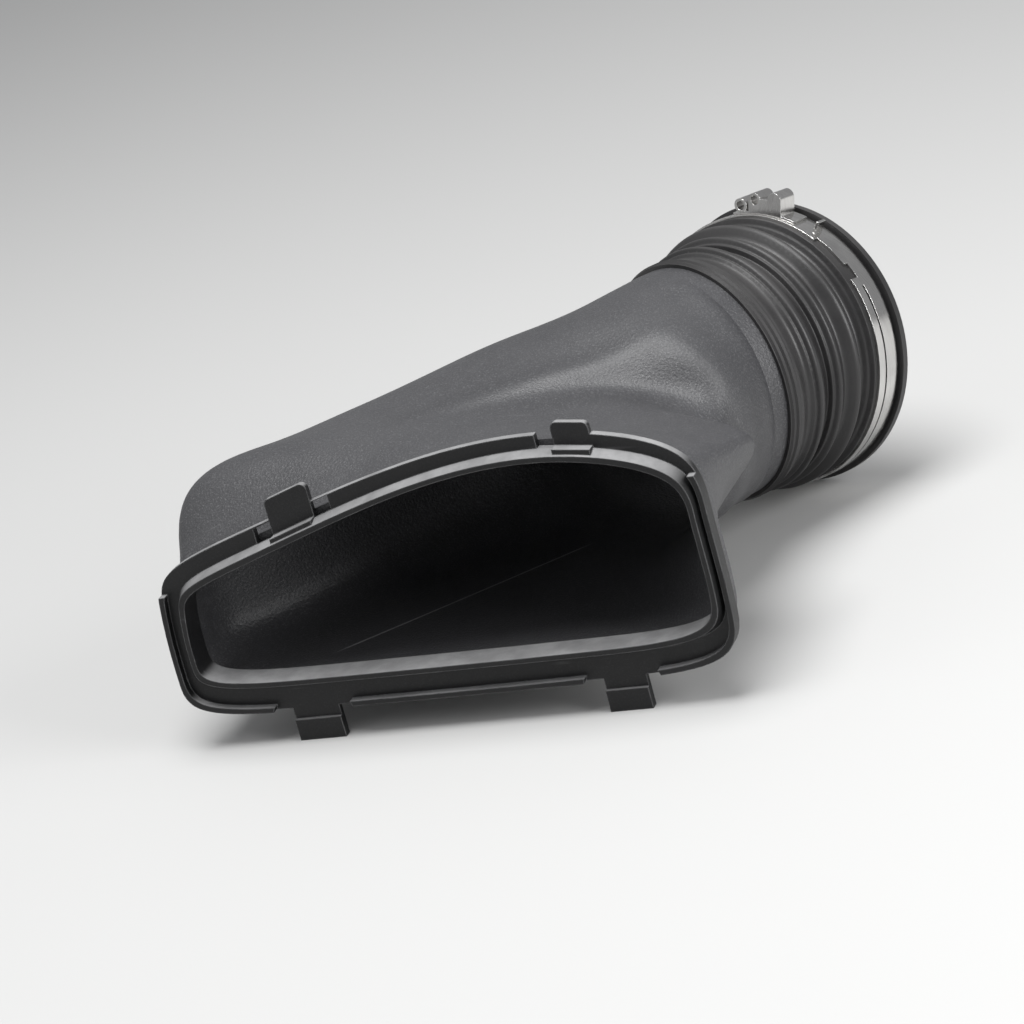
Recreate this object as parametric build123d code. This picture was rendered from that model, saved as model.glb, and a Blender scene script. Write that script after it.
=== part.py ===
from build123d import *

import os
from math import cos, pi, radians, sin, sqrt

# Cold air intake pipe: a moulded duct with a wide clipped mouth, a rubber bellows cuff and a steel band clamp.
# Millimetres, +Z up. The part lies at rest on z = 0, on its two lower latch tabs and the bead of the cuff.
# The mouth looks along -Y, and its long side runs along X.

# Mouth opening, seen from the front: floor height, side edges, and the heights of the two upper corners
MOUTH_FLOOR = 21.5
MOUTH_LEFT_FOOT = -78.0
MOUTH_LEFT_HEAD = -75.0
MOUTH_RIGHT = 91.0
MOUTH_LEFT_TOP = 55.5
MOUTH_RIGHT_TOP = 75.0
MOUTH_ARCH = 14.0
MOUTH_ARCH_SKEW = 1.4
MOUTH_SQUARENESS = 7.0

# Mouth frame, from its front edge backwards
RIM_LENGTH = 4.0
RIM_WALL = 1.7
RIM_TAPER = 1.1
FLANGE_THICK = 2.5
SLEEVE_LENGTH = 3.0
SLEEVE_WALL = 2.0
FLANGE_ABOVE = 7.0
FLANGE_LEFT = 8.5
FLANGE_RIGHT = 5.0
FLANGE_BELOW = 11.0
LIP_WIDTH = 1.7
LIP_HEIGHT = 2.5
LIP_END_DROP = 3.0

# Latch tongues on top of the frame: middle, width, height over the rim, and the slot on each side
TONGUE_THICK = 2.0
TONGUE_CORNER = 2.0
TONGUE_PAD = 0.8
LEFT_TONGUE_MIDDLE = -33.4
LEFT_TONGUE_WIDTH = 15.0
LEFT_TONGUE_HEIGHT = 12.0
LEFT_TONGUE_SLOT = 6.0
RIGHT_TONGUE_MIDDLE = 60.5
RIGHT_TONGUE_WIDTH = 11.5
RIGHT_TONGUE_HEIGHT = 8.0
RIGHT_TONGUE_SLOT = 5.5

# Latch tabs under the frame
TAB_THICK = 1.8
TAB_HOOK = 1.1
TAB_HOOK_LENGTH = 7.0
TAB_RELIEF = 6.0
LEFT_TAB_MIDDLE = -43.8
LEFT_TAB_WIDTH = 15.5
RIGHT_TAB_MIDDLE = 57.3
RIGHT_TAB_WIDTH = 13.5

# Duct body: walls, and the outlines it passes through behind the mouth
BODY_WALL = 2.4
BODY_FIT = 0.15
COLLAR_CLEARANCE = 0.5
SHOULDER_Y = 30.0
SHOULDER_LEFT = -83.0
SHOULDER_LEFT_TOP = 79.5
SHOULDER_RIGHT_FOOT = 72.0
SHOULDER_RIGHT_HEAD = 100.0
SHOULDER_RIGHT_TOP = 72.0
SHOULDER_ARCH = 7.0
# Blunt fin at the right, where the flat roof ends in a crease under the dome
FIN_Y = 57.0
FIN_LEFT = -63.0
FIN_LEFT_TOP = 81.5
FIN_RIGHT_FOOT = 56.0
FIN_RIGHT_HEAD = 103.0
FIN_RIGHT_TOP = 63.0
FIN_ARCH = 8.0
FIN_SQUARENESS = 6.0
# Crease behind the fin, then the dome, both in planes turned part of the way to the neck
CREASE_X = 28.0
CREASE_Y = 78.0
CREASE_TURN = 0.4
CREASE_LEFT = -65.5
CREASE_LEFT_TOP = 81.5
CREASE_RIGHT_FOOT = 32.0
CREASE_RIGHT_HEAD = 66.0
CREASE_RIGHT_TOP = 58.0
CREASE_ARCH = 14.0
CREASE_SQUARENESS = 4.0
DOME_X = 38.0
DOME_Y = 100.0
DOME_HEIGHT = 52.8
DOME_HALF_WIDTH = 49.5
DOME_HALF_HEIGHT = 36.0
DOME_SQUARENESS = 2.3
DOME_TURN = 0.75

# Neck: the middle of its end face, how far it turns right and dips, and its radii
NECK_X = 54.5
NECK_Y = 132.0
NECK_HEIGHT = 51.1
NECK_YAW = 30.0
NECK_DIP = 3.0
NECK_RADIUS = 39.0
NECK_LEAD = 6.0
SPIGOT_LENGTH = 4.5
SPIGOT_RADIUS = 38.0

# Clamp seat of the cuff: the middle of its start, and the direction of the open end
SEAT_X = 67.3
SEAT_Y = 160.1
SEAT_YAW = 20.0
SEAT_DIP = 9.0

# Bellows cuff: a straight collar on the neck, folds on a bend, then the clamp's seat and an end bead
CUFF_WALL = 2.6
CUFF_BORE = 41.0
COLLAR_RADIUS = 40.2
COLLAR_LENGTH = 5.0
RIDGE_HEIGHT = 0.6
RIDGE_STATIONS = (1.0, 3.2)
# Share of the way along the bend, and the outer radius there
FOLDS = (
    (0.0, 40.2),
    (0.15, 38.8),
    (0.29, 41.6),
    (0.45, 38.6),
    (0.56, 42.3),
    (0.65, 40.9),
    (0.75, 44.4),
    (0.92, 40.6),
    (1.0, 44.4),
)
SEAT_LENGTH = 12.5
SEAT_RADIUS = 44.4
BEAD_LENGTH = 3.5
BEAD_RADIUS = 46.8

# Band clamp
BAND_GAP = 1.4
BAND_WIDTH = 9.7
BAND_THICK = 0.9
BAND_FIT = 0.05
SLOT_FROM_EDGE = 3.2
SLOT_WIDTH = 0.8
SLOT_FROM = 152.0
SLOT_TO = 262.0
STEP_FROM = 125.0
STEP_DEPTH = 1.8
RECESS_FROM = 141.0
RECESS_TO = 148.0
RECESS_DEPTH = 3.4
BUCKLE_SEAT = 98.0
BUCKLE_REACH = 30.0
BUCKLE_WIDTH = 7.5
BUCKLE_STRIP = 0.9
FIRST_LOBE_AT = 9.0
SECOND_LOBE_AT = 3.4
LOBE_RADIUS = 2.4
LOBE_RISE = 1.6
BLOCK_LENGTH = 8.0
BLOCK_HEIGHT = 5.2
HOOK_AT = 122.0
HOOK_HEIGHT = 4.6
HOOK_WIDTH = 4.0

# Fineness of the outlines, and of the steps between the outlines and between the folds
OUTLINE_POINTS = 36
SECTION_STEPS = 3
FOLD_STEPS = 4
# Squareness of a true ellipse
ROUND = 2.0


# Places and sizes worked out from the values above
FLANGE_FRONT = RIM_LENGTH
FLANGE_BACK = FLANGE_FRONT + FLANGE_THICK
SLEEVE_END = FLANGE_BACK + SLEEVE_LENGTH
COLLAR_END = SLEEVE_END + COLLAR_CLEARANCE
BODY_INNER_MARGIN = SLEEVE_WALL + BODY_FIT
BODY_MARGIN = BODY_INNER_MARGIN + BODY_WALL
BODY_FLOOR = MOUTH_FLOOR - BODY_MARGIN
NECK_BORE = SPIGOT_RADIUS - BODY_WALL
CUFF_END = SEAT_LENGTH + BEAD_LENGTH
SEAT_HEIGHT = CUFF_END * sin(radians(SEAT_DIP)) + BEAD_RADIUS * cos(radians(SEAT_DIP))
BAND_INNER = SEAT_RADIUS + BAND_FIT
BAND_OUTER = BAND_INNER + BAND_THICK
CUT_SPARE = 1.0


def turned_plane(origin, yaw, dip):
    """Plane across the duct at a turn to the right and a dip, with Z to the open end, Y up and X left."""
    yaw = radians(yaw)
    dip = radians(dip)
    out = (sin(yaw) * cos(dip), cos(yaw) * cos(dip), -sin(dip))
    return Plane(origin, x_dir=(-cos(yaw), sin(yaw), 0), z_dir=out)


NECK = turned_plane((NECK_X, NECK_Y, NECK_HEIGHT), NECK_YAW, NECK_DIP)
SEAT = turned_plane((SEAT_X, SEAT_Y, SEAT_HEIGHT), SEAT_YAW, SEAT_DIP)


def front_plane(y):
    """Plane across the duct at a depth y: its own axes are the part's X and Z."""
    return Plane((0, y, 0), x_dir=(1, 0, 0), z_dir=(0, -1, 0))


def seen_from_mouth(plane):
    """The same plane with its X to the right, as the mouth's planes have it."""
    return Plane(plane.origin, x_dir=-plane.x_dir, z_dir=-plane.z_dir)


def signed_power(value, power):
    """A power that keeps the sign of its base."""
    return abs(value) ** power if value >= 0 else -(abs(value) ** power)


def outline(plane, left, right, floor, top, squareness, arch=0.0, skew=1.0):
    """Face with a rounded four-sided outline and an arched upper side.

    left, right and top are pairs: left and right at the foot and the head, top at the left and the right.
    """
    points = []
    for index in range(OUTLINE_POINTS):
        angle = 2 * pi * (index + 0.5) / OUTLINE_POINTS
        across = (1 + signed_power(cos(angle), 2 / squareness)) / 2
        up = (1 + signed_power(sin(angle), 2 / squareness)) / 2
        left_here = left[0] + (left[1] - left[0]) * up
        right_here = right[0] + (right[1] - right[0]) * up
        top_here = top[0] + (top[1] - top[0]) * across + arch * sin(pi * across**skew)
        x = left_here + (right_here - left_here) * across
        z = floor + (top_here - floor) * up
        points.append(plane.from_local_coords((x, z, 0)))
    return make_face(Spline(*points, periodic=True))


def mouth_outline(y, left=0.0, right=0.0, below=0.0, above=0.0):
    """The mouth's opening at a depth y, grown by a margin on each side."""
    return outline(
        front_plane(y),
        left=(MOUTH_LEFT_FOOT - left, MOUTH_LEFT_HEAD - left),
        right=(MOUTH_RIGHT + right, MOUTH_RIGHT + right),
        floor=MOUTH_FLOOR - below,
        top=(MOUTH_LEFT_TOP + above, MOUTH_RIGHT_TOP + above),
        squareness=MOUTH_SQUARENESS,
        arch=MOUTH_ARCH,
        skew=MOUTH_ARCH_SKEW,
    )


def even_outline(y, margin):
    """The mouth's opening grown by the same margin all round."""
    return mouth_outline(y, margin, margin, margin, margin)


def mouth_top(x):
    """Height of the opening's upper side at x."""
    share = (x - MOUTH_LEFT_HEAD) / (MOUTH_RIGHT - MOUTH_LEFT_HEAD)
    line = MOUTH_LEFT_TOP + (MOUTH_RIGHT_TOP - MOUTH_LEFT_TOP) * share
    return line + MOUTH_ARCH * sin(pi * share**MOUTH_ARCH_SKEW)


def prism(face, length):
    """A face of the mouth's plane drawn out backwards."""
    return extrude(face, amount=length, dir=(0, 1, 0))


def slab(y, length, corners):
    """A straight-sided plate in the mouth's plane, from its corners as seen from the front."""
    points = [front_plane(y).from_local_coords((x, z, 0)) for x, z in corners]
    return prism(make_face(Polyline(*points, close=True)), length)


def over_rim(x_from, x_to, low, high):
    """Corners of a strip that follows the mouth's upper side, between two heights over it."""
    return [
        (x_from, mouth_top(x_from) + low),
        (x_to, mouth_top(x_to) + low),
        (x_to, mouth_top(x_to) + high),
        (x_from, mouth_top(x_from) + high),
    ]


def build_flange():
    """Stop flange with its forward lip along the two sides and the bottom."""
    margins = (FLANGE_LEFT, FLANGE_RIGHT, FLANGE_BELOW, FLANGE_ABOVE)
    inner_margins = [margin - LIP_WIDTH for margin in margins]
    lip_front = FLANGE_FRONT - LIP_HEIGHT
    flange = prism(mouth_outline(FLANGE_FRONT, *margins), FLANGE_THICK)
    lip = prism(mouth_outline(lip_front, *margins), LIP_HEIGHT)
    lip -= prism(mouth_outline(lip_front - CUT_SPARE, *inner_margins), LIP_HEIGHT + CUT_SPARE)
    far_left = MOUTH_LEFT_FOOT - 2 * FLANGE_LEFT
    far_right = MOUTH_RIGHT + 2 * FLANGE_RIGHT
    high = MOUTH_RIGHT_TOP + 2 * MOUTH_ARCH
    lip -= slab(
        lip_front - CUT_SPARE,
        LIP_HEIGHT + CUT_SPARE,
        [
            (far_left, MOUTH_LEFT_TOP - LIP_END_DROP),
            (MOUTH_LEFT_HEAD, MOUTH_LEFT_TOP - LIP_END_DROP),
            (MOUTH_RIGHT, MOUTH_RIGHT_TOP - LIP_END_DROP),
            (far_right, MOUTH_RIGHT_TOP - LIP_END_DROP),
            (far_right, high),
            (far_left, high),
        ],
    )
    bottom = MOUTH_FLOOR - FLANGE_BELOW
    for middle, width in ((LEFT_TAB_MIDDLE, LEFT_TAB_WIDTH), (RIGHT_TAB_MIDDLE, RIGHT_TAB_WIDTH)):
        half = width / 2 + TAB_RELIEF
        corners = [
            (middle - half, bottom - CUT_SPARE),
            (middle + half, bottom - CUT_SPARE),
            (middle + half - LIP_WIDTH, bottom + 2 * LIP_WIDTH),
            (middle - half + LIP_WIDTH, bottom + 2 * LIP_WIDTH),
        ]
        lip -= slab(lip_front - CUT_SPARE, LIP_HEIGHT + CUT_SPARE, corners)
    return flange + lip


def build_tongue(middle, width, height):
    """Upright latch tongue in the flange's plane, with its pad on the rim."""
    x_from = middle - width / 2
    x_to = middle + width / 2
    root = RIM_WALL / 2
    tongue = slab(FLANGE_FRONT, TONGUE_THICK, over_rim(x_from, x_to, root, RIM_WALL + RIM_TAPER + height))
    heads = tongue.edges().filter_by(Axis.Y).sort_by(Axis.Z)[-2:]
    tongue = fillet(heads, TONGUE_CORNER)
    pad_top = RIM_WALL + RIM_TAPER + TONGUE_PAD
    pad = slab(TONGUE_PAD, FLANGE_FRONT - TONGUE_PAD, over_rim(x_from, x_to, root, pad_top))
    return tongue + pad


def build_tab(middle, width):
    """Latch tab under the flange: a flat tongue with a thicker hook at its foot."""
    x_from = middle - width / 2
    x_to = middle + width / 2
    root = MOUTH_FLOOR - FLANGE_BELOW + 2 * LIP_WIDTH
    tab = slab(FLANGE_FRONT, TAB_THICK, [(x_from, 0), (x_to, 0), (x_to, root), (x_from, root)])
    hook_corners = [(x_from, 0), (x_to, 0), (x_to, TAB_HOOK_LENGTH), (x_from, TAB_HOOK_LENGTH)]
    return tab + slab(FLANGE_FRONT - TAB_HOOK, TAB_HOOK, hook_corners)


def build_mouth_frame():
    """Frame in the duct's mouth: tapered rim, flange, sleeve and four latches, one moulding."""
    rim = loft([even_outline(0, RIM_WALL), even_outline(RIM_LENGTH, RIM_WALL + RIM_TAPER)])
    sleeve = prism(even_outline(FLANGE_FRONT, SLEEVE_WALL), SLEEVE_END - FLANGE_FRONT)
    frame = build_flange()
    tongues = (
        (LEFT_TONGUE_MIDDLE, LEFT_TONGUE_WIDTH, LEFT_TONGUE_HEIGHT, LEFT_TONGUE_SLOT, LEFT_TONGUE_SLOT),
        (RIGHT_TONGUE_MIDDLE, RIGHT_TONGUE_WIDTH, RIGHT_TONGUE_HEIGHT, RIGHT_TONGUE_SLOT, 0.0),
    )
    slot_floor = RIM_WALL + RIM_TAPER
    slot_top = FLANGE_ABOVE + CUT_SPARE
    for middle, width, height, slot_left, slot_right in tongues:
        x_from = middle - width / 2 - slot_left
        x_to = middle + width / 2 + slot_right
        cut = over_rim(x_from, x_to, slot_floor, slot_top)
        frame -= slab(FLANGE_FRONT - CUT_SPARE, FLANGE_THICK + 2 * CUT_SPARE, cut)
        frame += build_tongue(middle, width, height)
    for middle, width in ((LEFT_TAB_MIDDLE, LEFT_TAB_WIDTH), (RIGHT_TAB_MIDDLE, RIGHT_TAB_WIDTH)):
        frame += build_tab(middle, width)
    frame += rim + sleeve
    return frame - prism(even_outline(-CUT_SPARE, 0), SLEEVE_END + 2 * CUT_SPARE)


def duct_rows(wall):
    """Numbers of the duct's outlines from the mouth to the neck: place, turn and sides, set in by a wall."""
    margin = BODY_MARGIN - wall
    floor = BODY_FLOOR + wall
    side = DOME_HALF_WIDTH - wall
    rise = DOME_HALF_HEIGHT - wall
    neck_half = NECK_RADIUS if wall == 0 else NECK_BORE
    neck = NECK.offset(-NECK_LEAD).origin
    mouth_right = MOUTH_RIGHT + margin
    mouth_sides = (MOUTH_LEFT_FOOT - margin, MOUTH_LEFT_HEAD - margin, mouth_right, mouth_right)
    mouth_arch = (MOUTH_SQUARENESS, MOUTH_ARCH, MOUTH_ARCH_SKEW)
    mouth_tops = (MOUTH_LEFT_TOP + margin, MOUTH_RIGHT_TOP + margin)
    shoulder_left = SHOULDER_LEFT + wall
    shoulder_sides = (shoulder_left, shoulder_left, SHOULDER_RIGHT_FOOT - wall, SHOULDER_RIGHT_HEAD - wall)
    shoulder_tops = (SHOULDER_LEFT_TOP - wall, SHOULDER_RIGHT_TOP - wall)
    fin_sides = (FIN_LEFT + wall, FIN_LEFT + wall, FIN_RIGHT_FOOT - wall, FIN_RIGHT_HEAD - wall)
    fin_tops = (FIN_LEFT_TOP - wall, FIN_RIGHT_TOP - wall)
    crease_place = (CREASE_X, CREASE_Y, 0, NECK_YAW * CREASE_TURN, 0)
    crease_left = CREASE_LEFT + wall
    crease_sides = (crease_left, crease_left, CREASE_RIGHT_FOOT - wall, CREASE_RIGHT_HEAD - wall)
    crease_tops = (CREASE_LEFT_TOP - wall, CREASE_RIGHT_TOP - wall)
    dome_place = (DOME_X, DOME_Y, DOME_HEIGHT, NECK_YAW * DOME_TURN, NECK_DIP * DOME_TURN)
    return [
        (0, COLLAR_END, 0, 0, 0, *mouth_sides, floor, *mouth_tops, *mouth_arch),
        (0, SHOULDER_Y, 0, 0, 0, *shoulder_sides, floor, *shoulder_tops, MOUTH_SQUARENESS, SHOULDER_ARCH, 1),
        (0, FIN_Y, 0, 0, 0, *fin_sides, floor, *fin_tops, FIN_SQUARENESS, FIN_ARCH, 1),
        (*crease_place, *crease_sides, floor, *crease_tops, CREASE_SQUARENESS, CREASE_ARCH, 1),
        (*dome_place, -side, -side, side, side, -rise, rise, rise, DOME_SQUARENESS, 0, 1),
        (*neck, NECK_YAW, NECK_DIP, *round_sides(neck_half), ROUND, 0, 1),
    ]


def round_sides(radius):
    """Left, right, floor and top numbers of a round outline."""
    return (-radius, -radius, radius, radius, -radius, radius, radius)


def filled_rows(rows):
    """The rows with more rows between them, on smooth curves that pass through the given ones."""
    gaps = [after[1] - row[1] for row, after in zip(rows, rows[1:])]
    rates = [[(b - a) / gap for a, b in zip(row, after)] for row, after, gap in zip(rows, rows[1:], gaps)]
    slopes = [rates[0]]
    for gap, next_gap, rate, next_rate in zip(gaps, gaps[1:], rates, rates[1:]):
        slopes.append([(a * next_gap + b * gap) / (gap + next_gap) for a, b in zip(rate, next_rate)])
    slopes.append(rates[-1])
    filled = []
    for index, gap in enumerate(gaps):
        for step in range(SECTION_STEPS):
            share = step / SECTION_STEPS
            rest = 1 - share
            row = []
            for a, b, slope, next_slope in zip(rows[index], rows[index + 1], slopes[index], slopes[index + 1]):
                level = a * rest**2 * (1 + 2 * share) + b * share**2 * (1 + 2 * rest)
                row.append(level + gap * share * rest * (slope * rest - next_slope * share))
            filled.append(row)
    return filled + [rows[-1]]


def row_outline(row):
    """Outline of the duct from a row of its numbers."""
    x, y, z, yaw, dip, left_foot, left_head, right_foot, right_head, floor, left_top, right_top = row[:12]
    plane = seen_from_mouth(turned_plane((x, y, z), yaw, dip))
    sides = ((left_foot, left_head), (right_foot, right_head))
    return outline(plane, *sides, floor, (left_top, right_top), *row[12:])


def duct_skin(wall):
    """Side faces of the duct from the mouth to the neck, set in by a wall."""
    return skin([row_outline(row) for row in filled_rows(duct_rows(wall))])


def skin(sections, straight=False):
    """Side faces of a loft through sections, without its two ends."""
    return [face for face in loft(sections, ruled=straight).faces() if face.geom_type != GeomType.PLANE]


def neck_section(station, radius):
    """Round outline of the neck, made of the same points as the outlines before it."""
    middle = NECK.offset(station).origin
    return row_outline((*middle, NECK_YAW, NECK_DIP, *round_sides(radius), ROUND, 0, 1))


def build_duct_body():
    """Hollow duct from the mouth frame to the spigot that carries the cuff."""
    faces = skin([even_outline(FLANGE_BACK, BODY_MARGIN), even_outline(COLLAR_END, BODY_MARGIN)], straight=True)
    faces += duct_skin(0)
    faces += skin([neck_section(-NECK_LEAD, NECK_RADIUS), neck_section(0, NECK_RADIUS)], straight=True)
    faces += (neck_section(0, NECK_RADIUS) - neck_section(0, SPIGOT_RADIUS)).faces()
    faces += skin([neck_section(0, SPIGOT_RADIUS), neck_section(SPIGOT_LENGTH, SPIGOT_RADIUS)], straight=True)
    faces += (neck_section(SPIGOT_LENGTH, SPIGOT_RADIUS) - neck_section(SPIGOT_LENGTH, NECK_BORE)).faces()
    faces += skin([neck_section(SPIGOT_LENGTH, NECK_BORE), neck_section(-NECK_LEAD, NECK_BORE)], straight=True)
    faces += duct_skin(BODY_WALL)
    inner_ends = [even_outline(FLANGE_BACK, BODY_INNER_MARGIN), even_outline(COLLAR_END, BODY_INNER_MARGIN)]
    faces += skin(inner_ends, straight=True)
    faces += (even_outline(FLANGE_BACK, BODY_MARGIN) - inner_ends[0]).faces()
    return Solid(Shell(faces))


def turned_faces(plane, corners):
    """Faces swept by a chain of (radius, station) corners turned about a plane's axis."""
    faces = []
    for (radius, station), (next_radius, next_station) in zip(corners, corners[1:]):
        here = plane.offset(station) * Circle(radius)
        there = plane.offset(next_station) * Circle(next_radius)
        if station == next_station:
            faces += ((here - there) if radius > next_radius else (there - here)).faces()
        else:
            faces += skin([here, there], straight=True)
    return faces


def bend_ring(share, radius):
    """Disc of the cuff at a share of the way along its bend, from the collar to the clamp's seat."""
    start = NECK.offset(COLLAR_LENGTH).origin
    middle = start + (SEAT.origin - start) * share
    yaw = NECK_YAW + (SEAT_YAW - NECK_YAW) * share
    dip = NECK_DIP + (SEAT_DIP - NECK_DIP) * share
    return turned_plane(middle, yaw, dip) * Circle(radius)


def fold_skin(folds):
    """Side faces of the folds, eased from each crest to the next valley."""
    rings = []
    for (share, radius), (next_share, next_radius) in zip(folds, folds[1:]):
        for step in range(FOLD_STEPS):
            along = step / FOLD_STEPS
            eased = (1 - cos(pi * along)) / 2
            place = share + (next_share - share) * along
            rings.append(bend_ring(place, radius + (next_radius - radius) * eased))
    return skin(rings + [bend_ring(*folds[-1])])


def build_bellows_cuff():
    """Rubber cuff: a collar with two fine ridges, three folds, a seat for the clamp and an end bead."""
    grip = SPIGOT_RADIUS + BODY_FIT
    collar = [(COLLAR_RADIUS, 0.0)]
    for station in RIDGE_STATIONS:
        collar.append((COLLAR_RADIUS, station - RIDGE_HEIGHT))
        collar.append((COLLAR_RADIUS + RIDGE_HEIGHT, station))
        collar.append((COLLAR_RADIUS, station + RIDGE_HEIGHT))
    collar.append((COLLAR_RADIUS, COLLAR_LENGTH))
    bead_round = BEAD_LENGTH / 3
    seat = [
        (SEAT_RADIUS, 0.0),
        (SEAT_RADIUS, SEAT_LENGTH),
        (BEAD_RADIUS, SEAT_LENGTH),
        (BEAD_RADIUS, CUFF_END - bead_round),
        (BEAD_RADIUS - bead_round, CUFF_END),
        (CUFF_BORE, CUFF_END),
        (CUFF_BORE, 0.0),
    ]
    inner_folds = [(share, radius - CUFF_WALL) for share, radius in FOLDS[1:-1]]
    inner_folds = [(0.0, grip)] + inner_folds + [(1.0, CUFF_BORE)]
    faces = turned_faces(NECK, [(grip, COLLAR_LENGTH), (grip, 0.0)] + collar)
    faces += fold_skin(FOLDS)
    faces += turned_faces(SEAT, seat)
    faces += fold_skin(inner_folds)
    return Solid(Shell(faces))


def band_sector(inner, outer, start, length, angle_from, angle_to):
    """Part of a ring on the cuff's axis, between two angles counted from the left over the top."""
    corners = [(inner, start), (outer, start), (outer, start + length), (inner, start + length)]
    face = Plane.XZ * make_face(Polyline(*corners, close=True))
    sector = revolve(face, Axis.Z, revolution_arc=angle_to - angle_from)
    return SEAT.location * (Rot(0, 0, angle_from) * sector)


def on_band(sketch, angle, start, length):
    """A sketch drawn over the top of the band, turned to its angle and drawn out along the axis."""
    return SEAT.location * (Rot(0, 0, angle - 90) * (Pos(0, 0, start) * extrude(sketch, amount=length)))


def build_clamp_band():
    """Steel band with its long slot, the stepped near edge and the upright hook."""
    band = band_sector(BAND_INNER, BAND_OUTER, BAND_GAP, BAND_WIDTH, 0, 360)
    cut_inner = BAND_INNER - CUT_SPARE
    cut_outer = BAND_OUTER + CUT_SPARE
    band -= band_sector(cut_inner, cut_outer, BAND_GAP + SLOT_FROM_EDGE, SLOT_WIDTH, SLOT_FROM, SLOT_TO)
    step_start = BAND_GAP - CUT_SPARE
    band -= band_sector(cut_inner, cut_outer, step_start, CUT_SPARE + STEP_DEPTH, STEP_FROM, RECESS_TO)
    band -= band_sector(cut_inner, cut_outer, step_start, CUT_SPARE + RECESS_DEPTH, RECESS_FROM, RECESS_TO)
    hook_foot = BAND_INNER + BAND_THICK / 2
    hook = Pos(0, hook_foot + HOOK_HEIGHT / 2) * Rectangle(BAND_THICK, HOOK_HEIGHT)
    return band + on_band(hook, HOOK_AT, BAND_GAP + (BAND_WIDTH - HOOK_WIDTH) / 2, HOOK_WIDTH)


def build_clamp_buckle():
    """Folded strip over the band: two open lobes, a block and a rounded lug on one seat."""
    seat = BAND_OUTER + BAND_FIT
    seat_top = seat + BUCKLE_STRIP
    start = BAND_GAP + (BAND_WIDTH - BUCKLE_WIDTH) / 2
    lobe_reach = seat_top + LOBE_RADIUS - BUCKLE_STRIP / 2
    low_lobe = sqrt(lobe_reach**2 - FIRST_LOBE_AT**2)
    high_lobe = lobe_reach + LOBE_RISE
    lug_radius = BLOCK_HEIGHT / 2
    sketch = Pos(FIRST_LOBE_AT, low_lobe) * Circle(LOBE_RADIUS)
    sketch += Pos(SECOND_LOBE_AT, high_lobe) * Circle(LOBE_RADIUS)
    sketch += Pos(SECOND_LOBE_AT, (seat + high_lobe) / 2) * Rectangle(2 * LOBE_RADIUS, high_lobe - seat)
    block_middle = (SECOND_LOBE_AT - LOBE_RADIUS - BLOCK_LENGTH / 2, seat_top + BLOCK_HEIGHT / 2 - BUCKLE_STRIP)
    sketch += Pos(*block_middle) * Rectangle(BLOCK_LENGTH, BLOCK_HEIGHT)
    lug_at = block_middle[0] - BLOCK_LENGTH / 2 + lug_radius
    sketch += Pos(lug_at, block_middle[1] + lug_radius) * Circle(lug_radius)
    sketch -= Pos(FIRST_LOBE_AT, low_lobe) * Circle(LOBE_RADIUS - BUCKLE_STRIP)
    sketch -= Pos(SECOND_LOBE_AT, high_lobe) * Circle(LOBE_RADIUS - BUCKLE_STRIP)
    sketch -= Circle(seat + BUCKLE_STRIP / 2)
    buckle = on_band(sketch, BUCKLE_SEAT, start, BUCKLE_WIDTH)
    half = BUCKLE_REACH / 2
    return buckle + band_sector(seat, seat_top, start, BUCKLE_WIDTH, BUCKLE_SEAT - half, BUCKLE_SEAT + half)


nodes = {
    "duct_body": build_duct_body(),
    "mouth_frame": build_mouth_frame(),
    "bellows_cuff": build_bellows_cuff(),
    "clamp_band": build_clamp_band(),
    "clamp_buckle": build_clamp_buckle(),
}

# The part's origin is the middle of its box, on the plane it rests on
boxes = [node.bounding_box() for node in nodes.values()]
middle_x = (min(box.min.X for box in boxes) + max(box.max.X for box in boxes)) / 2
middle_y = (min(box.min.Y for box in boxes) + max(box.max.Y for box in boxes)) / 2
lowest = min(box.min.Z for box in boxes)

os.makedirs("parts", exist_ok=True)
for name, node in nodes.items():
    export_step(Pos(-middle_x, -middle_y, -lowest) * node, f"parts/{name}.step")
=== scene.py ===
import math

import bmesh
import bpy
from mathutils import Matrix, Vector


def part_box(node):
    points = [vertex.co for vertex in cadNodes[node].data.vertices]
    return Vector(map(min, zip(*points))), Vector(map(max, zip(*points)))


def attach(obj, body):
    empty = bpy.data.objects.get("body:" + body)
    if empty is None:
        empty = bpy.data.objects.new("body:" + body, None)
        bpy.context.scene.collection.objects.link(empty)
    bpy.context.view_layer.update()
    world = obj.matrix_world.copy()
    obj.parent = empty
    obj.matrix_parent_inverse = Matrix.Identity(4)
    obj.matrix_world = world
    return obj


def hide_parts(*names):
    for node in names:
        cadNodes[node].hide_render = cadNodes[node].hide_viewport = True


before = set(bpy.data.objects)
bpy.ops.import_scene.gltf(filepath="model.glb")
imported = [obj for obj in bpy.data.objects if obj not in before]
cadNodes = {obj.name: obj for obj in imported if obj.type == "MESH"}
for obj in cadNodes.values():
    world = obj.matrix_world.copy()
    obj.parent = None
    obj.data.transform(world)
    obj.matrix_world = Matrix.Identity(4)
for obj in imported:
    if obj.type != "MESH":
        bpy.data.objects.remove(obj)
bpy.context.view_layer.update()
print("frame loaded:", ", ".join(sorted(cadNodes)))


def addNode(tree, kind, **values):
    node = tree.nodes.new(kind)
    for name, value in values.items():
        setattr(node, name, value)
    return node


def wire(tree, source, target):
    tree.links.new(source, target)


def feed(tree, socket, value):  # a socket takes either a plain value or another node's output
    if isinstance(value, bpy.types.NodeSocket):
        tree.links.new(value, socket)
    else:
        socket.default_value = value


def sums(tree, operation, first, second=None, third=None, clamp=False):
    node = addNode(tree, "ShaderNodeMath", operation=operation, use_clamp=clamp)
    for socket, value in zip(node.inputs, (first, second, third)):
        if value is not None:
            feed(tree, socket, value)
    return node.outputs[0]


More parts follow.
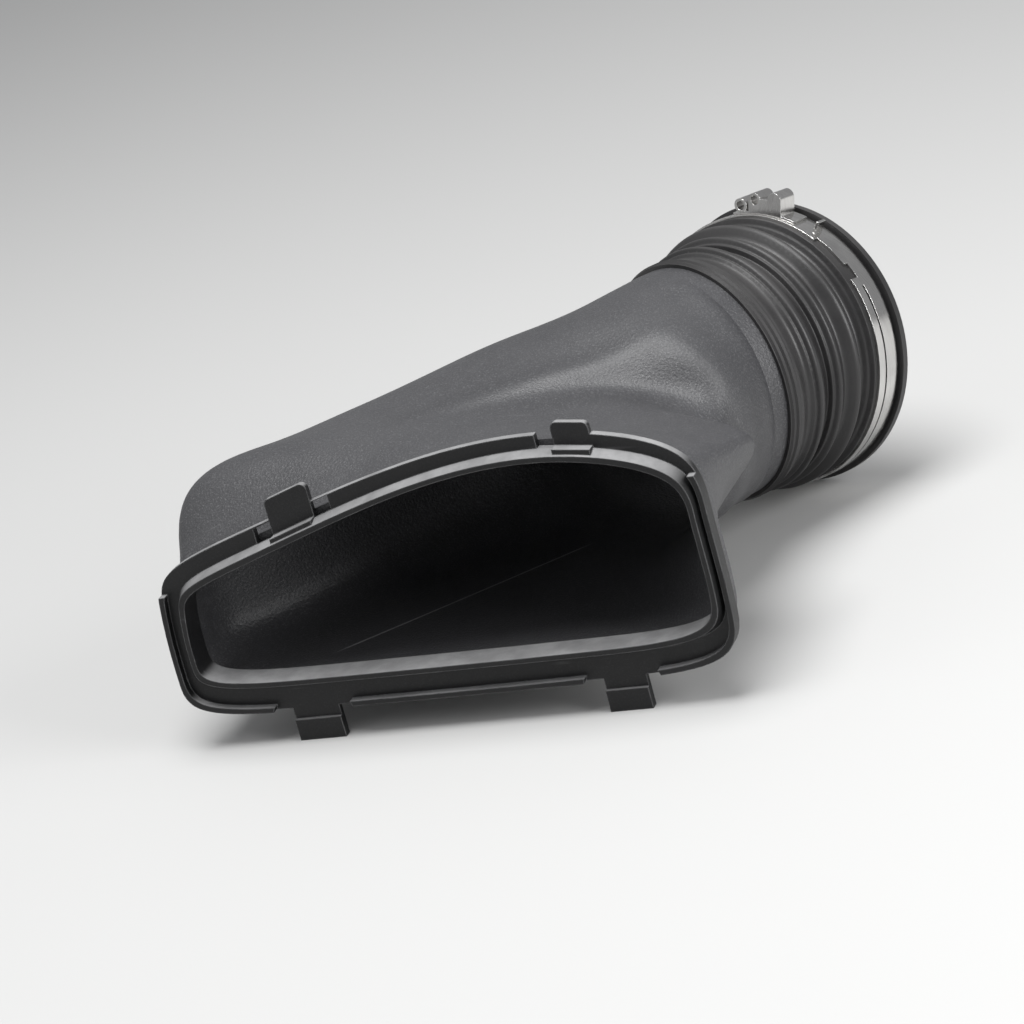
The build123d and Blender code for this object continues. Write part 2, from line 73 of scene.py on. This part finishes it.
def spread(tree, value, low, high, lowOut=0.0, highOut=1.0):
    node = addNode(tree, "ShaderNodeMapRange", interpolation_type="SMOOTHSTEP")
    feed(tree, node.inputs["Value"], value)
    node.inputs["From Min"].default_value = low
    node.inputs["From Max"].default_value = high
    node.inputs["To Min"].default_value = lowOut
    node.inputs["To Max"].default_value = highOut
    return node.outputs["Result"]


def blendColours(tree, factor, first, second):
    node = addNode(tree, "ShaderNodeMix", data_type="RGBA")
    feed(tree, node.inputs[0], factor)
    feed(tree, node.inputs[6], first)  # sockets 6 and 7 are the two colours
    feed(tree, node.inputs[7], second)
    return node.outputs[2]


def noise(tree, place, scale, detail=2.0, rough=0.5):
    node = addNode(tree, "ShaderNodeTexNoise")
    wire(tree, place, node.inputs["Vector"])
    feed(tree, node.inputs["Scale"], scale)
    node.inputs["Detail"].default_value = detail
    node.inputs["Roughness"].default_value = rough
    return node.outputs["Fac"]


def objectPlace(tree):
    return addNode(tree, "ShaderNodeTexCoord").outputs["Object"]


def newGroup(name, inputs, outputs):
    group = bpy.data.node_groups.new(name, "ShaderNodeTree")
    for socketName, value in inputs.items():
        socket = group.interface.new_socket(name=socketName, in_out="INPUT", socket_type="NodeSocketFloat")
        socket.default_value = value
    for socketName, kind in outputs.items():
        group.interface.new_socket(name=socketName, in_out="OUTPUT", socket_type=kind)
    return group, addNode(group, "NodeGroupInput"), addNode(group, "NodeGroupOutput")


def placeGroup(tree, group, values):
    node = addNode(tree, "ShaderNodeGroup", node_tree=group)
    for name, value in values.items():
        feed(tree, node.inputs[name], value)
    return node


# moulded grain: spark-eroded texture of the tool, a fine speckle, and slow changes of shade
grainSettings = {
    "cellShare": 0.7, "fineShare": 0.6, "fineScale": 1.7, "fineDetail": 3.0, "fineRough": 0.6,
    "speckle": (0.5, 0.74), "slowDetail": 4.0, "slowRough": 0.55, "patches": (0.3, 0.7),
}


def makeGrainGroup(settings):
    group, given, out = newGroup(
        "mouldGrain",
        {"Scale": 900.0, "Patch Scale": 14.0},
        {"Height": "NodeSocketFloat", "Speckle": "NodeSocketFloat", "Patches": "NodeSocketFloat"},
    )
    place = objectPlace(group)
    cells = addNode(group, "ShaderNodeTexVoronoi", feature="SMOOTH_F1")
    wire(group, place, cells.inputs["Vector"])
    wire(group, given.outputs["Scale"], cells.inputs["Scale"])
    fineScale = sums(group, "MULTIPLY", given.outputs["Scale"], settings["fineScale"])
    fine = noise(group, place, fineScale, settings["fineDetail"], settings["fineRough"])
    fineHeight = sums(group, "MULTIPLY", fine, settings["fineShare"])
    height = sums(group, "MULTIPLY_ADD", cells.outputs["Distance"], settings["cellShare"], fineHeight)
    wire(group, height, out.inputs["Height"])
    wire(group, spread(group, fine, *settings["speckle"]), out.inputs["Speckle"])
    slow = noise(group, place, given.outputs["Patch Scale"], settings["slowDetail"], settings["slowRough"])
    wire(group, spread(group, slow, *settings["patches"]), out.inputs["Patches"])
    return group


# worn edges: where the rounded normal leaves the flat one, broken up by a little noise
edgeSettings = {"samples": 4, "turn": (0.015, 0.16), "breakDetail": 3.0, "breakUp": (0.3, 0.62, 0.45, 1.0)}


def makeEdgeGroup(settings):
    group, given, out = newGroup(
        "wornEdges",
        {"Radius": 0.0006, "Break Up": 160.0},
        {"Edge": "NodeSocketFloat", "Normal": "NodeSocketVector"},
    )
    rounded = addNode(group, "ShaderNodeBevel", samples=settings["samples"])
    wire(group, given.outputs["Radius"], rounded.inputs["Radius"])
    flat = addNode(group, "ShaderNodeNewGeometry")
    turn = addNode(group, "ShaderNodeVectorMath", operation="DOT_PRODUCT")
    wire(group, rounded.outputs["Normal"], turn.inputs[0])
    wire(group, flat.outputs["Normal"], turn.inputs[1])
    edge = spread(group, sums(group, "SUBTRACT", 1.0, turn.outputs["Value"]), *settings["turn"])
    patches = noise(group, objectPlace(group), given.outputs["Break Up"], settings["breakDetail"])
    broken = spread(group, patches, *settings["breakUp"])
    wire(group, sums(group, "MULTIPLY", edge, broken, clamp=True), out.inputs["Edge"])
    wire(group, rounded.outputs["Normal"], out.inputs["Normal"])
    return group


# handling marks and painted top light: pale dust and painted light from above on what faces up, and thin
# scuffs at two slants
marksAndTopLightSettings = {
    "upward": (0.4, 1.0), "cloudDetail": 6.0, "cloudRough": 0.65, "cloudMask": (0.3, 0.75, 0.65, 1.0),
    "slantDegrees": (24.0, -51.0), "tilt": (0.3, 0.2), "stretch": (1.0, 28.0, 9.0), "scuff": (0.69, 0.76),
}


def makeMarksAndTopLightGroup(settings):
    group, given, out = newGroup(
        "handlingMarksAndTopLight",
        {"Dust And Top Light Scale": 40.0, "Scuff Scale": 30.0},
        {"Dust And Top Light": "NodeSocketFloat", "Scuffs": "NodeSocketFloat"},
    )
    place = objectPlace(group)
    facing = addNode(group, "ShaderNodeSeparateXYZ")
    wire(group, addNode(group, "ShaderNodeNewGeometry").outputs["Normal"], facing.inputs[0])
    upward = spread(group, facing.outputs["Z"], *settings["upward"])
    clouds = noise(group, place, given.outputs["Dust And Top Light Scale"], settings["cloudDetail"], settings["cloudRough"])
    cloudMask = spread(group, clouds, *settings["cloudMask"])
    wire(group, sums(group, "MULTIPLY", upward, cloudMask), out.inputs["Dust And Top Light"])
    slants = []
    for slantDegrees in settings["slantDegrees"]:
        slant = addNode(group, "ShaderNodeMapping")
        wire(group, place, slant.inputs["Vector"])
        slant.inputs["Rotation"].default_value = (*settings["tilt"], math.radians(slantDegrees))
        slant.inputs["Scale"].default_value = settings["stretch"]
        streaks = noise(group, slant.outputs["Vector"], given.outputs["Scuff Scale"])
        slants.append(spread(group, streaks, *settings["scuff"]))
    wire(group, sums(group, "MAXIMUM", *slants), out.inputs["Scuffs"])
    return group


# moulding line: a thin straight line below one height, drawn between its two ends in plan
lineSettings = {"fade": 0.1}  # share of the length that fades at each end


def makeLineGroup(settings):
    group, given, out = newGroup(
        "mouldingLine",
        {"From X": 0.0, "From Y": 0.0, "To X": 1.0, "To Y": 0.0, "Below": 0.0, "Half Width": 0.0004},
        {"Line": "NodeSocketFloat"},
    )
    place = addNode(group, "ShaderNodeSeparateXYZ")
    wire(group, objectPlace(group), place.inputs[0])
    runX = sums(group, "SUBTRACT", given.outputs["To X"], given.outputs["From X"])
    runY = sums(group, "SUBTRACT", given.outputs["To Y"], given.outputs["From Y"])
    squares = sums(group, "ADD", sums(group, "POWER", runX, 2.0), sums(group, "POWER", runY, 2.0))
    length = sums(group, "SQRT", squares)
    offX = sums(group, "SUBTRACT", place.outputs["X"], given.outputs["From X"])
    offY = sums(group, "SUBTRACT", place.outputs["Y"], given.outputs["From Y"])
    cross = sums(group, "SUBTRACT", sums(group, "MULTIPLY", runX, offY), sums(group, "MULTIPLY", runY, offX))
    aside = sums(group, "DIVIDE", sums(group, "ABSOLUTE", cross), length)
    along = sums(group, "ADD", sums(group, "MULTIPLY", runX, offX), sums(group, "MULTIPLY", runY, offY))
    share = sums(group, "DIVIDE", along, sums(group, "POWER", length, 2.0))
    near = sums(group, "LESS_THAN", aside, given.outputs["Half Width"])
    fadeIn = spread(group, share, 0.0, settings["fade"])
    fadeOut = spread(group, share, 1.0 - settings["fade"], 1.0, 1.0, 0.0)
    within = sums(group, "MULTIPLY", fadeIn, fadeOut)
    low = sums(group, "LESS_THAN", place.outputs["Z"], given.outputs["Below"])
    line = sums(group, "MULTIPLY", sums(group, "MULTIPLY", near, within), low)
    wire(group, line, out.inputs["Line"])
    return group


# soft fold in the roof: a bell across a straight line in plan, faded out at both ends and below a height
foldSettings = {"heightFade": 0.01}


def makeFoldGroup(settings):
    group, given, out = newGroup(
        "softFold",
        {
            "Start": 0.0, "Slope": 0.0, "Half Width": 0.007,
            "From X": -1.0, "To X": 1.0, "Fade": 0.02, "Above": 0.0,
        },
        {"Bell": "NodeSocketFloat"},
    )
    place = addNode(group, "ShaderNodeSeparateXYZ")
    wire(group, objectPlace(group), place.inputs[0])
    lineY = sums(group, "MULTIPLY_ADD", place.outputs["X"], given.outputs["Slope"], given.outputs["Start"])
    offLine = sums(group, "SUBTRACT", place.outputs["Y"], lineY)
    aside = sums(group, "ABSOLUTE", sums(group, "DIVIDE", offLine, given.outputs["Half Width"]))
    bell = sums(group, "EXPONENT", sums(group, "MULTIPLY", sums(group, "POWER", aside, 2.0), -1.0))
    rise = sums(group, "SUBTRACT", place.outputs["X"], given.outputs["From X"])
    fall = sums(group, "SUBTRACT", given.outputs["To X"], place.outputs["X"])
    for reach in (rise, fall):
        share = sums(group, "DIVIDE", reach, given.outputs["Fade"], clamp=True)
        bell = sums(group, "MULTIPLY", bell, spread(group, share, 0.0, 1.0))
    overHeight = sums(group, "SUBTRACT", place.outputs["Z"], given.outputs["Above"])
    high = sums(group, "DIVIDE", overHeight, settings["heightFade"], clamp=True)
    wire(group, sums(group, "MULTIPLY", bell, high), out.inputs["Bell"])
    return group


grainGroup = makeGrainGroup(grainSettings)
edgeGroup = makeEdgeGroup(edgeSettings)
marksAndTopLightGroup = makeMarksAndTopLightGroup(marksAndTopLightSettings)
lineGroup = makeLineGroup(lineSettings)
foldGroup = makeFoldGroup(foldSettings)
print("shared effects ready")


def newFinish(name, gloss):
    material = bpy.data.materials.new(name)
    material.use_nodes = True
    tree = material.node_tree
    shader = tree.nodes["Principled BSDF"]
    shader.inputs["Specular IOR Level"].default_value = gloss
    return material, tree, shader


def addBump(tree, height, strength, distance, target):
    bump = addNode(tree, "ShaderNodeBump")
    bump.inputs["Strength"].default_value = strength
    bump.inputs["Distance"].default_value = distance
    wire(tree, height, bump.inputs["Height"])
    wire(tree, bump.outputs["Normal"], target)
    return bump


# black moulded plastic, used for the grained duct and, smoother, for the frame of its mouth
def makePlastic(name, values):
    material, tree, shader = newFinish(name, values["gloss"])
    grain = placeGroup(tree, grainGroup, {"Scale": values["grainScale"], "Patch Scale": values["patchScale"]})
    marksAndTopLightScales = {"Dust And Top Light Scale": values["dustAndTopLightScale"], "Scuff Scale": values["scuffScale"]}
    marksAndTopLight = placeGroup(tree, marksAndTopLightGroup, marksAndTopLightScales)
    colour = blendColours(tree, grain.outputs["Patches"], values["dark"], values["light"])
    speckle = sums(tree, "MULTIPLY", grain.outputs["Speckle"], values["speckle"])
    colour = blendColours(tree, speckle, colour, values["speckleColour"])
    # pale film on up-facing faces: dust on the duct; on the mouth frame mostly painted top light, lightening
    # its up-facing ledges and the floor strip inside the mouth
    dustAndTopLight = sums(tree, "MULTIPLY", marksAndTopLight.outputs["Dust And Top Light"], values["dustAndTopLight"])
    colour = blendColours(tree, dustAndTopLight, colour, values["dustAndTopLightColour"])
    scuffs = sums(tree, "MULTIPLY", marksAndTopLight.outputs["Scuffs"], values["scuffs"])
    colour = blendColours(tree, scuffs, colour, values["wearColour"])
    rough = spread(tree, grain.outputs["Patches"], 0.0, 1.0, *values["rough"])
    rough = sums(tree, "MULTIPLY_ADD", dustAndTopLight, values["dustAndTopLightRough"], rough, clamp=True)
    wire(tree, rough, shader.inputs["Roughness"])
    grainHeight = grain.outputs["Height"]
    bump = addBump(tree, grainHeight, values["bump"], values["grainDepth"], shader.inputs["Normal"])
    if "edges" in values:
        edges = placeGroup(tree, edgeGroup, values["edges"])
        worn = sums(tree, "MULTIPLY", edges.outputs["Edge"], values["edgeWear"])
        colour = blendColours(tree, worn, colour, values["wearColour"])
        wire(tree, edges.outputs["Normal"], bump.inputs["Normal"])
    if "folds" in values:
        height = 0.0
        for fold in values["folds"]:
            shape = placeGroup(tree, foldGroup, fold["shape"])
            height = sums(tree, "MULTIPLY_ADD", shape.outputs["Bell"], fold["rise"], height)
        addBump(tree, height, 1.0, 1.0, bump.inputs["Normal"])  # the rise is already in metres
    if "line" in values:
        line = placeGroup(tree, lineGroup, values["line"])
        colour = blendColours(tree, line.outputs["Line"], colour, values["lineColour"])
    wire(tree, colour, shader.inputs["Base Color"])
    return material


ductLook = {
    "dark": (0.033, 0.033, 0.036, 1), "light": (0.040, 0.040, 0.043, 1),
    "speckleColour": (0.17, 0.17, 0.175, 1), "speckle": 0.6,
    "dustAndTopLightColour": (0.16, 0.16, 0.165, 1), "dustAndTopLight": 0.15, "dustAndTopLightScale": 60.0, "dustAndTopLightRough": 0.25,
    "wearColour": (0.15, 0.15, 0.155, 1), "scuffs": 0.2, "scuffScale": 26.0,
    "rough": (0.42, 0.50), "gloss": 0.6,
    "grainScale": 1250.0, "patchScale": 16.0, "bump": 0.6, "grainDepth": 0.0003,
    "lineColour": (0.30, 0.30, 0.305, 1),
    "line": {
        "From X": -0.0586, "From Y": -0.0749, "To X": 0.0099, "To Y": -0.0078,
        "Below": 0.022, "Half Width": 0.00035,
    },
    "folds": [
        {"rise": -0.0028, "shape": {  # valley before the dome
            "Start": -0.0362, "Slope": 0.262, "Half Width": 0.007,
            "From X": 0.0, "To X": 0.085, "Fade": 0.035, "Above": 0.048,
        }},
        {"rise": 0.0012, "shape": {  # ridge along the dome's foot
            "Start": -0.0315, "Slope": 0.53, "Half Width": 0.006,
            "From X": -0.04, "To X": 0.06, "Fade": 0.03, "Above": 0.06,
        }},
    ],
}
frameLook = {
    "dark": (0.007, 0.007, 0.0075, 1), "light": (0.011, 0.011, 0.0115, 1),
    "speckleColour": (0.04, 0.04, 0.042, 1), "speckle": 0.3,
    # painted top light: this strong pale film lightens the frame's up-facing faces as if lit from above
    "dustAndTopLightColour": (0.46, 0.46, 0.465, 1), "dustAndTopLight": 0.65, "dustAndTopLightScale": 90.0, "dustAndTopLightRough": 0.25,
    "wearColour": (0.22, 0.22, 0.225, 1), "scuffs": 0.12, "scuffScale": 26.0,
    "edges": {"Radius": 0.0006, "Break Up": 170.0}, "edgeWear": 0.75,
    "rough": (0.38, 0.48), "gloss": 0.3,
    "grainScale": 1500.0, "patchScale": 22.0, "bump": 0.25, "grainDepth": 0.00015,
}
ductPlastic = makePlastic("ductPlastic", ductLook)
framePlastic = makePlastic("framePlastic", frameLook)


# black rubber of the cuff, with a bloom on what faces up
def makeRubber(name, values):
    material, tree, shader = newFinish(name, values["gloss"])
    grain = placeGroup(tree, grainGroup, {"Scale": values["grainScale"], "Patch Scale": values["patchScale"]})
    marksAndTopLight = placeGroup(tree, marksAndTopLightGroup, {"Dust And Top Light Scale": values["bloomScale"]})
    colour = blendColours(tree, grain.outputs["Patches"], values["dark"], values["light"])
    bloom = sums(tree, "MULTIPLY", marksAndTopLight.outputs["Dust And Top Light"], values["bloom"])
    colour = blendColours(tree, bloom, colour, values["bloomColour"])
    wire(tree, colour, shader.inputs["Base Color"])
    rough = spread(tree, grain.outputs["Patches"], 0.0, 1.0, *values["rough"])
    rough = sums(tree, "MULTIPLY_ADD", bloom, values["bloomRough"], rough, clamp=True)
    wire(tree, rough, shader.inputs["Roughness"])
    addBump(tree, grain.outputs["Height"], values["bump"], values["grainDepth"], shader.inputs["Normal"])
    return material


cuffLook = {
    "dark": (0.018, 0.0175, 0.018, 1), "light": (0.028, 0.027, 0.0275, 1),
    "bloomColour": (0.10, 0.098, 0.097, 1), "bloom": 0.35, "bloomScale": 70.0, "bloomRough": 0.3,
    "rough": (0.36, 0.5), "gloss": 0.5,
    "grainScale": 1300.0, "patchScale": 30.0, "bump": 0.22, "grainDepth": 0.00015,
}
cuffRubber = makeRubber("cuffRubber", cuffLook)


# drawn steel strip of the clamp: fine lines round the band, bright edges, faint stains
def makeSteel(name, values):
    material, tree, shader = newFinish(name, values["gloss"])
    edges = placeGroup(tree, edgeGroup, values["edges"])
    grain = placeGroup(tree, grainGroup, {"Patch Scale": values["patchScale"]})
    drawn = addNode(tree, "ShaderNodeMapping")
    wire(tree, objectPlace(tree), drawn.inputs["Vector"])
    drawn.inputs["Rotation"].default_value = values["drawnTurn"]
    drawn.inputs["Scale"].default_value = values["drawnScale"]
    lines = noise(tree, drawn.outputs["Vector"], 1.0, values["lineDetail"], values["lineRough"])
    colour = blendColours(tree, grain.outputs["Patches"], values["dark"], values["light"])
    colour = blendColours(tree, spread(tree, lines, *values["lineTint"]), colour, values["lineColour"])
    colour = blendColours(tree, edges.outputs["Edge"], colour, values["edgeColour"])
    wire(tree, colour, shader.inputs["Base Color"])
    shader.inputs["Metallic"].default_value = 1.0
    wire(tree, spread(tree, lines, *values["lineGloss"], *values["rough"]), shader.inputs["Roughness"])
    bump = addBump(tree, lines, values["bump"], values["lineDepth"], shader.inputs["Normal"])
    wire(tree, edges.outputs["Normal"], bump.inputs["Normal"])
    return material


clampLook = {
    "dark": (0.62, 0.61, 0.60, 1), "light": (0.80, 0.79, 0.77, 1), "patchScale": 60.0,
    "edgeColour": (0.86, 0.86, 0.85, 1), "edges": {"Radius": 0.0003, "Break Up": 240.0},
    "lineColour": (0.42, 0.41, 0.40, 1), "lineTint": (0.35, 0.7, 0.0, 0.35), "lineGloss": (0.3, 0.7),
    "lineDetail": 3.0, "lineRough": 0.6, "lineDepth": 0.0001, "bump": 0.12,
    "drawnTurn": (math.radians(-9), 0.0, math.radians(20)), "drawnScale": (45.0, 3200.0, 45.0),
    "rough": (0.12, 0.24), "gloss": 0.5,
}
clampSteel = makeSteel("clampSteel", clampLook)

finishes = {
    "duct_body": ductPlastic,
    "mouth_frame": framePlastic,
    "bellows_cuff": cuffRubber,
    "clamp_band": clampSteel,
    "clamp_buckle": clampSteel,
}
for nodeName, finish in finishes.items():
    slots = cadNodes[nodeName].material_slots
    if not slots:
        cadNodes[nodeName].data.materials.append(finish)
    for slot in slots:
        slot.material = finish
print("finishes set")

# the cuff's solid has more triangles than its folds need, so a merged and thinned copy stands for it
thinLook = {
    "node": "bellows_cuff", "name": "cuffThin", "slot": "cuff_rubber",
    "mergeDistance": 0.000001, "triangles": 150000, "creaseDegrees": 30.0,
}


def thinCuff():
    bpy.context.view_layer.update()
    source = cadNodes[thinLook["node"]]
    mesh = source.data.copy()
    shape = bmesh.new()
    shape.from_mesh(mesh)
    bmesh.ops.remove_doubles(shape, verts=shape.verts, dist=thinLook["mergeDistance"])
    count = len(shape.faces)
    shape.to_mesh(mesh)
    shape.free()
    if "custom_normal" in mesh.attributes:  # the solid's own normals no longer fit the merged corners
        mesh.attributes.remove(mesh.attributes["custom_normal"])
    piece = bpy.data.objects.new(thinLook["name"], mesh)
    bpy.context.scene.collection.objects.link(piece)
    piece.matrix_world = source.matrix_world.copy()
    thin = piece.modifiers.new("thin", "DECIMATE")
    thin.ratio = min(1.0, thinLook["triangles"] / count)
    bpy.context.view_layer.objects.active = piece
    bpy.ops.object.modifier_apply(modifier=thin.name)
    piece.data.shade_smooth()
    piece.data.set_sharp_from_angle(angle=math.radians(thinLook["creaseDegrees"]))
    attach(piece, "root")
    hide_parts(thinLook["node"])
    print("cuff thinned from", count, "to", len(piece.data.polygons))


thinCuff()

# pale studio floor
floorLook = {"size": 8.0, "shade": (0.55, 0.55, 0.545, 1), "rough": 0.75, "gloss": 0.2}


def makeFloor():
    bpy.ops.mesh.primitive_plane_add(size=floorLook["size"], location=(0, 0, 0))
    floor = bpy.context.object
    floor.name = "studioFloor"
    material, tree, shader = newFinish("floorPaint", floorLook["gloss"])
    shader.inputs["Base Color"].default_value = floorLook["shade"]
    shader.inputs["Roughness"].default_value = floorLook["rough"]
    floor.data.materials.append(material)


makeFloor()

# soft light mostly from the right and above, as in the photograph
lampLook = [
    {"name": "keyRight", "at": (0.95, -0.25, 0.42), "size": 0.7, "watts": 8.5},
    {"name": "topSoft", "at": (0.0, -0.2, 1.35), "size": 0.9, "watts": 21.0},
    {"name": "fillLeft", "at": (-0.9, -0.5, 0.6), "size": 0.9, "watts": 0.9},
]
lampTarget = (0.0, 0.0, 0.05)
worldLook = {"shade": (0.93, 0.94, 0.96, 1), "strength": 0.34}


def makeLights():
    for look in lampLook:
        lamp = bpy.data.lights.new(look["name"], "AREA")
        lamp.shape = "DISK"
        lamp.size = look["size"]
        lamp.energy = look["watts"]
        holder = bpy.data.objects.new(look["name"], lamp)
        holder.location = look["at"]
        aim = Vector(lampTarget) - Vector(look["at"])
        holder.rotation_euler = aim.to_track_quat("-Z", "Y").to_euler()
        bpy.context.scene.collection.objects.link(holder)
    world = bpy.data.worlds.new("studioWorld")
    world.use_nodes = True
    background = world.node_tree.nodes["Background"]
    background.inputs["Color"].default_value = worldLook["shade"]
    background.inputs["Strength"].default_value = worldLook["strength"]
    bpy.context.scene.world = world


makeLights()

# camera at the photograph's place, counted from the left front corner of the mouth frame's box
cameraLook = {
    "fromFrame": (0.52735, -0.8966, 0.4317), "lens": 127.6, "sensor": 36.0, "farEnd": 50.0,
    "right": (0.9168, 0.3111, -0.2503), "back": (0.3849, -0.8553, 0.3469),
}


def makeCamera():
    corner = Vector(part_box("mouth_frame")[0])
    offset = Vector(cameraLook["fromFrame"])
    eye = Vector((corner.x + offset.x, corner.y + offset.y, offset.z))  # its height is from the floor
    back = Vector(cameraLook["back"]).normalized()
    right = Vector(cameraLook["right"]).normalized()
    up = back.cross(right).normalized()
    right = up.cross(back)
    lens = bpy.data.cameras.new("photoCamera")
    lens.sensor_width = cameraLook["sensor"]
    lens.lens = cameraLook["lens"]
    lens.clip_end = cameraLook["farEnd"]
    camera = bpy.data.objects.new("photoCamera", lens)
    turn = Matrix((right, up, back)).transposed()
    camera.matrix_world = Matrix.Translation(eye) @ turn.to_4x4()
    bpy.context.scene.collection.objects.link(camera)
    bpy.context.scene.camera = camera


makeCamera()
bpy.context.scene.view_settings.view_transform = "Standard"
print("camera and lights set")
